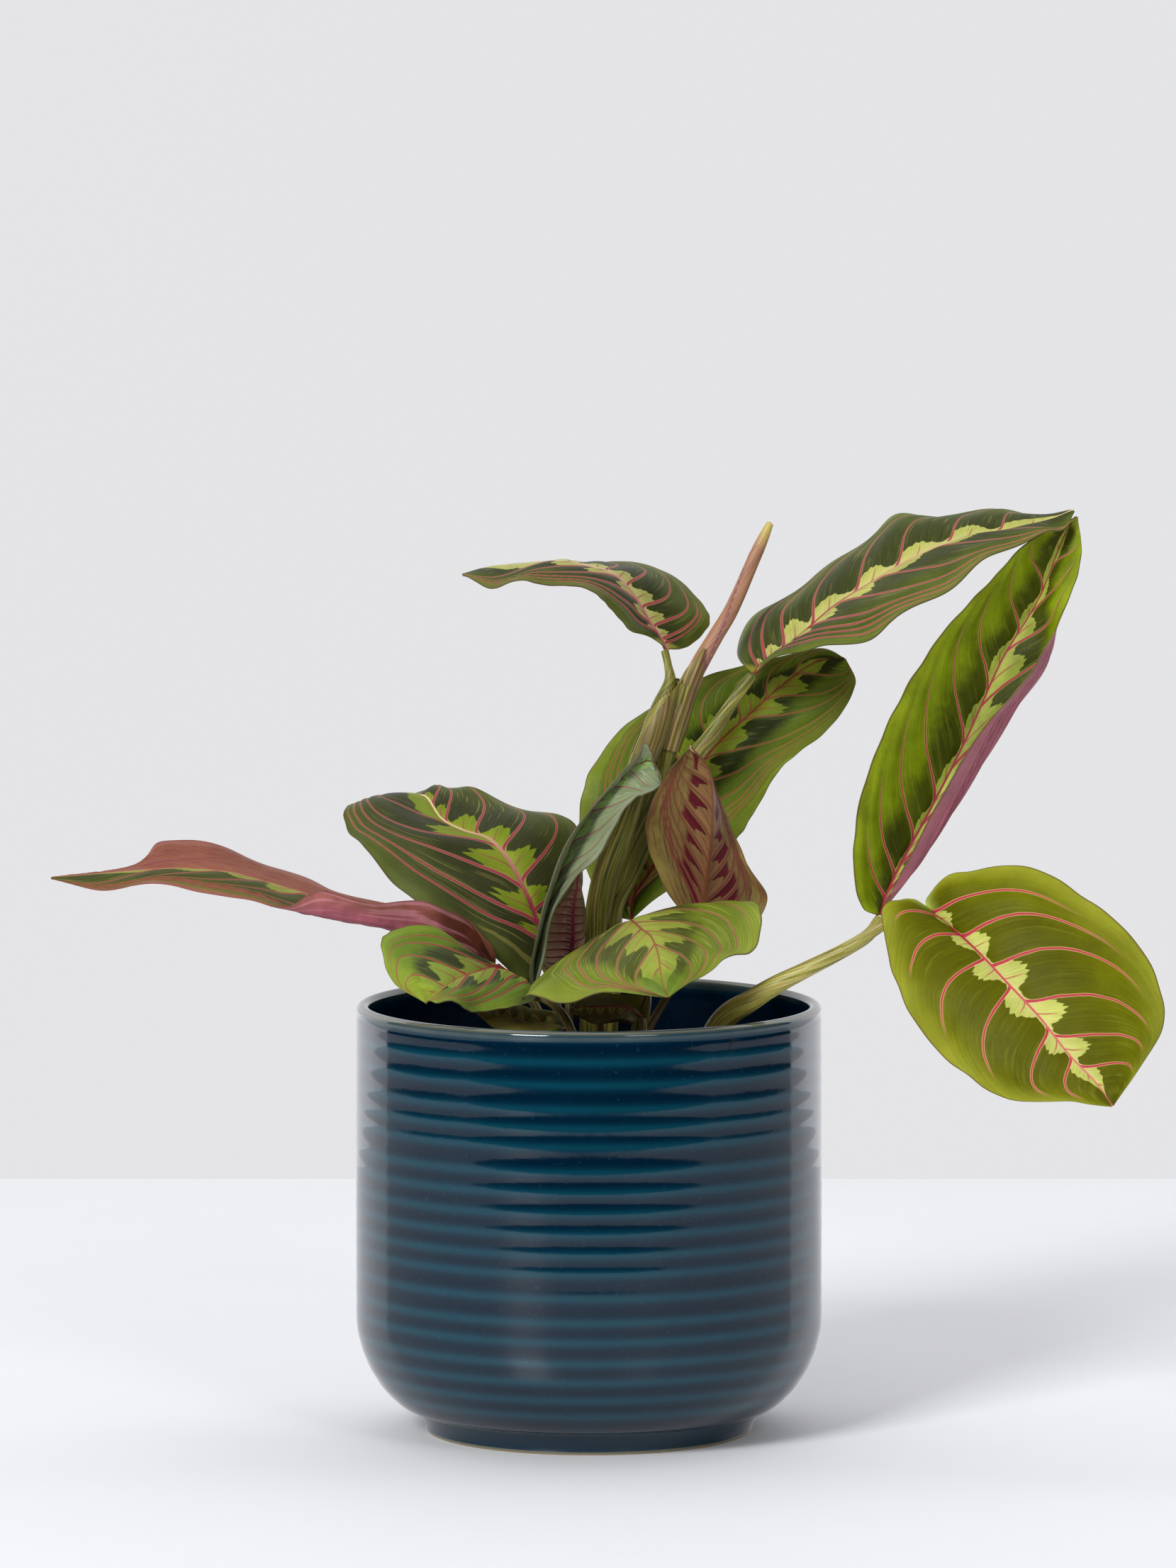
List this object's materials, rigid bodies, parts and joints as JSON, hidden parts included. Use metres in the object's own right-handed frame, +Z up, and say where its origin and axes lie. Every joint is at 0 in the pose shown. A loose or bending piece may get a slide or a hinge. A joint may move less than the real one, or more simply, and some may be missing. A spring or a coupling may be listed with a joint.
{
  "type": "potted prayer plant",
  "caption": "Prayer plant with broad herringbone-veined leaves on slender stems, growing in soil in a ribbed, round, dark glazed ceramic pot.",
  "frame": {"origin": "centre of the pot's flat underside, on the surface it stands on", "axes": "+Z up along the pot's axis; -Y towards the side the leaves are seen from in the picture; +X to the right in that view, the long way across the leaves"},
  "size_m": [0.3392, 0.1617, 0.2882],
  "materials": {
    "pot_glaze": "gloss",
    "potting_mix": "matte",
    "stalk": "satin",
    "rolled_leaf": "satin",
    "leaf_dark": "satin",
    "leaf_green": "satin",
    "leaf_pale": "satin",
    "leaf_underside": "satin"
  },
  "bodies": {
    "root": {"pot": "pot_glaze", "soil": "potting_mix", "stem_centre": "stalk", "stem_front": "stalk", "stem_russet": "stalk", "stem_folded": "stalk", "stem_front_left": "stalk", "stem_far_left": "stalk", "stem_broad_left": "stalk", "stem_right": "stalk", "stem_small_underside": "stalk", "stem_shade_left": "stalk", "stem_shade_front": "stalk", "new_leaf_roll": "rolled_leaf", "leaf_lower_right": "leaf_pale", "leaf_right_upright": "leaf_pale", "leaf_upper_right": "leaf_dark", "leaf_upper_left": "leaf_dark", "leaf_back": "leaf_green", "leaf_russet": "leaf_underside", "leaf_front": "leaf_pale", "leaf_front_left": "leaf_green", "leaf_broad_left": "leaf_dark", "leaf_far_left": "leaf_underside", "leaf_folded": "leaf_green", "leaf_small_underside": "leaf_underside", "leaf_shade_front": "leaf_dark", "leaf_shade_left": "leaf_green"}
  },
  "joints": []
}
